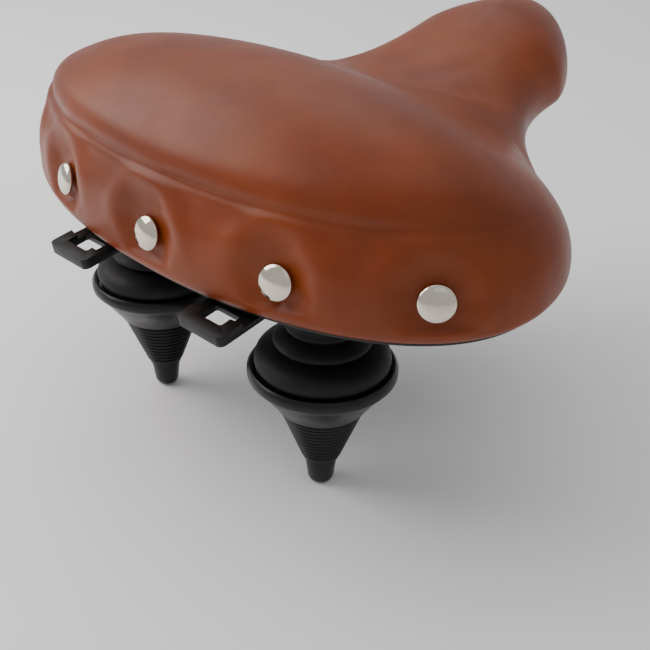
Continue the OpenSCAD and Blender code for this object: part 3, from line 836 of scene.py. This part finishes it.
    def rivets(self) -> bpy.types.Object:
        """Turns one domed rivet, copies it to each place and joins the copies.

        Returns:
            The finished piece.
        """
        radius, height = 6.6, 2.1
        dome = [(radius * math.sin(math.radians(a)), 0.7 + height * math.cos(math.radians(a)))
                for a in (2, 12, 24, 36, 48, 60, 72, 82)]
        profile = dome + [(radius, 0.9), (radius, 0.5), (6.35, 0.1), (5.9, 0), (2.1, 0), (2.0, -0.2),
                          (2.0, -9)]
        first = turned("cap", list(reversed(profile)), (0, 0, 0), 64)
        copies = []
        for spot in self.surface.rivets():
            copy = first.copy()
            copy.data = first.data.copy()
            bpy.context.scene.collection.objects.link(copy)
            copy.data.transform(Matrix.Scale(1 / MM, 4))
            copy.data.transform(spot)
            copy.data.transform(Matrix.Scale(MM, 4))
            copies.append(copy)
        bpy.data.objects.remove(first)
        deselect()
        for copy in copies:
            copy.select_set(True)
        bpy.context.view_layer.objects.active = copies[0]
        bpy.ops.object.join()
        piece = bpy.context.object
        piece.name = "domed_rivets"
        return place(finished(piece, 40), "seat", "rivets")


# ---- Suspension -----------------------------------------------------------------------------


@dataclass
class Unit:
    """One suspension unit: a ribbed cone, a ringed boot and the spring in it, in millimetres."""

    side: int
    x: float = 51.0
    y: float = -58.5
    rim_z: float = 21.5
    rim_r: float = 29.8
    drop: float = 56.0
    ribs: int = 12
    boot_h: float = 29.5
    coil_r: float = 9.6
    turns: float = 4.5
    wire: float = 4.0
    per_turn: int = 28
    closed: float = 0.75
    plate: float = 1.5
    gap: float = 0.05
    notch_x: tuple[float, float] = (-7.3, 1.3)
    notch_y: float = 25.0
    notch_z: float = 22.5
    notch_length: float = 30.0
    notch_height: float = 20.0

    @property
    def hand(self) -> str:
        """Name of the unit's side."""
        return "right" if self.side > 0 else "left"

    def centre(self, z: float) -> Point:
        """Point of the unit's axis at a height in millimetres, in metres."""
        return (self.side * self.x * MM, self.y * MM, z * MM)

    def boot(self) -> bpy.types.Object:
        """Turns the rubber boot: a bulb, a large ring and a small ring.

        Returns:
            The finished piece.
        """
        line = [
            (24.6, 0), (26.2, 1.2), (27, 3.4), (26.4, 6.2), (24.2, 8.6), (20.6, 10.2), (17.4, 10.9),
            (17.5, 11.4), (19.2, 12), (19.5, 12.8), (18.6, 14.2), (15.6, 16.4), (13.6, 17.4),
            (13.7, 18), (14.8, 18.6), (15, 19.4), (14.2, 21), (13.6, 23.4), (13.6, 25.5), (15.2, 26.5),
            (15.4, 27.6), (15.4, self.boot_h - self.gap)]
        piece = turned(f"boot_{self.hand}", rounded(line, 3), self.centre(self.rim_z + self.plate),
                       96, False)
        modify(piece, "SOLIDIFY", thickness=1.5 * MM, offset=-1.0, use_rim=True)
        finished(piece, 50)
        dress(piece, "boot_rubber")
        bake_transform(piece, "rails", "seat", start=self.centre(24.5), end=self.centre(51.0))
        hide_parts(f"bellows_{self.hand}")
        log.info("%s: %d faces", piece.name, len(piece.data.polygons))
        return piece

    def spring(self) -> bpy.types.Object:
        """Winds the coil spring with its closed ends.

        Returns:
            The finished piece.
        """
        low = self.rim_z + self.plate + self.wire / 2 + self.gap
        high = self.rim_z + self.plate + self.boot_h - self.wire / 2 - self.gap
        curve = bpy.data.curves.new("coil", "CURVE")
        curve.dimensions = "3D"
        curve.bevel_depth = self.wire / 2 * MM
        curve.bevel_resolution = 4
        curve.use_fill_caps = True
        spline = curve.splines.new("POLY")
        count = int(self.per_turn * self.turns)
        spline.points.add(count)
        for i in range(count + 1):
            a = 2 * math.pi * i / self.per_turn
            free = self.turns - 2 * self.closed
            t = max(0.0, min(1.0, (i / self.per_turn - self.closed) / free))
            spline.points[i].co = (
                self.side * (self.x + self.coil_r * math.cos(a)) * MM,
                (self.y + self.coil_r * math.sin(a)) * MM, (low + (high - low) * t) * MM, 1)
        piece = bpy.data.objects.new(f"coil_{self.hand}", curve)
        bpy.context.scene.collection.objects.link(piece)
        only(piece)
        bpy.ops.object.convert(target="MESH")
        piece = bpy.context.object
        bpy.ops.object.mode_set(mode="EDIT")
        bpy.ops.mesh.select_all(action="SELECT")
        bpy.ops.mesh.remove_doubles(threshold=0.00001)
        bpy.ops.mesh.normals_make_consistent(inside=False)
        bpy.ops.object.mode_set(mode="OBJECT")
        finished(piece, 40)
        dress(piece, "spring_steel")
        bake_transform(piece, "rails", "seat", start=self.centre(23.0), end=self.centre(52.5))
        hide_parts(f"spring_{self.hand}")
        log.info("%s: %d faces", piece.name, len(piece.data.polygons))
        return piece

    def cone(self) -> bpy.types.Object:
        """Turns the ribbed cone and cuts the rail's notch in its rim.

        Returns:
            The finished piece.
        """
        rim, step, end, tip = self.rim_z, self.rim_z - 16, self.rim_z - 42, self.rim_z - self.drop
        pitch = (step - end) / self.ribs
        outside = [(self.rim_r - 1.2, rim + 3), (self.rim_r, rim + 1.5), (self.rim_r, rim - 1),
                   (self.rim_r - 1.6, rim - 3), (27.4, rim - 3.4), (19, step + 0.8), (18.6, step)]
        for k in range(self.ribs):
            z = step - k * pitch
            r = 7.7 + 9.9 * (z - end) / (step - end)
            outside += [(r - 0.4, z), (r, z - 0.15 * pitch), (r, z - 0.5 * pitch),
                        (r - 0.8, z - 0.7 * pitch)]
        outside += [(7.3, end), (7.3, end - 1.5), (6.6, end - 2), (5.4, tip + 2.5), (4.6, tip + 0.8),
                    (3, tip), (1, tip)]
        inside = [(1, tip + 4), (2.4, tip + 4), (4.6, end + 1), (14.6, step + 1), (22, rim - 5),
                  (22, rim - 1.5), (27.02, rim - 1.5), (27.4, rim + 3)]
        piece = turned(f"ribbed_cone_{self.hand}", list(reversed(outside)) + list(reversed(inside)),
                       self.centre(0), 96)
        deselect()
        x0, x1 = sorted(self.side * (self.x + edge) for edge in self.notch_x)
        middle = ((x0 + x1) / 2 * MM, (self.y + self.notch_y) * MM, self.notch_z * MM)
        bpy.ops.mesh.primitive_cube_add(size=1, location=middle)
        cutter = bpy.context.object
        bpy.ops.transform.resize(value=((x1 - x0) * MM, self.notch_length * MM, self.notch_height * MM))
        only(cutter)
        bpy.ops.object.transform_apply(location=False, rotation=False, scale=True)
        modify(piece, "BOOLEAN", operation="DIFFERENCE", object=cutter, solver="EXACT")
        bpy.data.objects.remove(cutter)
        modify(piece, "BEVEL", width=0.22 * MM, segments=2, limit_method="ANGLE",
               angle_limit=math.radians(50))
        return place(finished(piece, 40), "rails", f"cone_{self.hand}")

    def build(self) -> None:
        """Builds the unit's pieces."""
        self.boot()
        self.spring()
        self.cone()


# ---- Frame parts ----------------------------------------------------------------------------


@dataclass
class Fitting:
    """A hard part made from its CAD solid: merged, its edges broken and shaded smooth."""

    node: str
    edge: float = 0.3
    angle: float = 32.0

    def build(self) -> bpy.types.Object:
        """Makes the finished part.

        Returns:
            The finished piece.
        """
        source = frame["nodes"][self.node]
        piece = bpy.data.objects.new(f"{self.node}_finished", source.data.copy())
        bpy.context.scene.collection.objects.link(piece)
        only(piece)
        bpy.ops.object.mode_set(mode="EDIT")
        bpy.ops.mesh.select_all(action="SELECT")
        bpy.ops.mesh.remove_doubles(threshold=0.000005)
        bpy.ops.mesh.dissolve_limited(angle_limit=math.radians(0.6))
        bpy.ops.object.mode_set(mode="OBJECT")
        if self.edge:
            modify(piece, "BEVEL", width=self.edge * MM, segments=2, limit_method="ANGLE",
                   angle_limit=math.radians(self.angle + 8), use_clamp_overlap=True)
        return place(finished(piece, self.angle), body_of(source)[0], self.node)


# ---- Studio ---------------------------------------------------------------------------------


@dataclass
class Studio:
    """Pale floor, soft lights and the camera."""

    azimuth: float = 43.0
    elevation: float = 31.58
    roll: float = 1.1
    target: Point = (0.0, 7.8, 81.2)
    distance: float = 434.6
    lens: float = 55.63
    across: float = 8.79
    above: float = 77.83
    sensor: float = 36.0
    ambient: float = 0.62

    def axes(self) -> tuple[Vector, Vector, Vector]:
        """Gives the camera's right, up and back directions."""
        a, e, o = (math.radians(v) for v in (self.azimuth, self.elevation, self.roll))
        right = Vector((math.cos(a), math.sin(a), 0))
        back = Vector((math.sin(a) * math.cos(e), -math.cos(a) * math.cos(e), math.sin(e)))
        up = back.cross(right)
        return (right * math.cos(o) + up * math.sin(o), up * math.cos(o) - right * math.sin(o), back)

    def camera(self) -> None:
        """Makes the camera at its place and angle."""
        right, up, back = self.axes()
        spot = (Vector(self.target) - self.across * right - self.above * up + self.distance * back) * MM
        lens = bpy.data.cameras.new("camera")
        lens.lens, lens.sensor_width, lens.clip_start = self.lens, self.sensor, 0.01
        camera = bpy.data.objects.new("camera", lens)
        bpy.context.scene.collection.objects.link(camera)
        turn = Matrix((right, up, back)).transposed().to_4x4()
        camera.matrix_world = Matrix.Translation(spot) @ turn
        bpy.context.scene.camera = camera

    def light(self, name: str, direction: Vector, away: float, size: float, power: float,
              colour: str) -> None:
        """Adds a square soft light that faces the seat.

        Args:
            name: the light's name.
            direction: where it stands as seen from the seat.
            away: its distance in metres.
            size: its side in metres.
            power: its power in watts.
            colour: its colour as sRGB hex.
        """
        lamp = bpy.data.lights.new(name, "AREA")
        lamp.energy, lamp.size, lamp.color = power, size, linear(colour)[:3]
        holder = bpy.data.objects.new(name, lamp)
        bpy.context.scene.collection.objects.link(holder)
        middle = Vector((0, 0, 0.06))
        holder.location = middle + direction.normalized() * away
        holder.rotation_euler = direction.to_track_quat("Z", "Y").to_euler()

    def floor(self) -> None:
        """Lays a pale floor under the lowest part."""
        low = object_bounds()[0]
        deselect()
        bpy.ops.mesh.primitive_plane_add(size=12, location=(0, 0, low[2] - 0.0005))
        floor = bpy.context.object
        floor.name = "floor"
        # Nearly white and matte, so that only soft shadows show on it
        finish = Finish("pale studio floor", "#FAFAFA", "#FFFFFF", 400, (0.6, 0.7), Grain.SPARK, 3, 0.01)
        floor.data.materials.append(finish.material())
        floor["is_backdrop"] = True

    def build(self) -> None:
        """Sets up the floor, the lights, the world and the camera."""
        right, up, back = self.axes()
        self.camera()
        self.floor()
        self.light("key", -1.2 * right + 0.9 * up + 0.30 * back, away=1.0, size=0.8, power=8,
                   colour="#FFF8F2")
        self.light("fill", 0.2 * right + 0.3 * up + 1.0 * back, away=1.6, size=1.0, power=0.6,
                   colour="#F2F6FF")
        self.light("top", Vector((-0.5, 0.3, 1.0)), away=1.3, size=1.2, power=5, colour="#FFFFFF")
        world = bpy.data.worlds.new("studio")
        world.use_nodes = True
        world.node_tree.nodes["Background"].inputs["Color"].default_value = linear("#F4F5F7")
        world.node_tree.nodes["Background"].inputs["Strength"].default_value = self.ambient
        bpy.context.scene.world = world


# Edges of the hard parts: the width in millimetres that each is broken by
FITTINGS = {
    "clamp_barrel": 0.5, "clamp_bolt": 0.4, "clamp_nuts": 0.4, "clamp_washers": 0.2,
    "inner_jaw_left": 0.6, "inner_jaw_right": 0.6, "outer_jaw_left": 0.6, "outer_jaw_right": 0.6,
    "rail_left": 0.0, "rail_right": 0.0, "nose_sleeve": 0.4,
    "spring_plate_left": 0.3, "spring_plate_right": 0.3, "seat_plate_left": 0.2, "seat_plate_right": 0.2,
    "base": 0.3, "rivet_washers": 0.1, "loop_left": 0.9, "loop_right": 0.9,
    "loop_screws": 0.3, "bump_stop_left": 0.3, "bump_stop_right": 0.3, "guide_bolts": 0.2,
    "rebound_stops": 0.3, "guide_nuts": 0.3, "nose_bracket": 0.4, "bracket_screws": 0.3,
    "pivot_bolt": 0.3, "pivot_nut": 0.3, "pivot_washers": 0.1,
}


def main() -> None:
    """Builds the pieces in order, dresses the CAD nodes and sets up the studio."""
    logging.basicConfig(level=logging.INFO, format="%(message)s", stream=sys.stdout)
    for name, node in frame["nodes"].items():
        dress(node, SLOTS[name])
    seat = Seat(SeatSurface())
    seat.cover()
    seat.trim()
    seat.rivets()
    for side in (1, -1):
        Unit(side).build()
    for name, edge in FITTINGS.items():
        Fitting(name, edge).build()
    Studio().build()


if __name__ == "__main__":
    main()
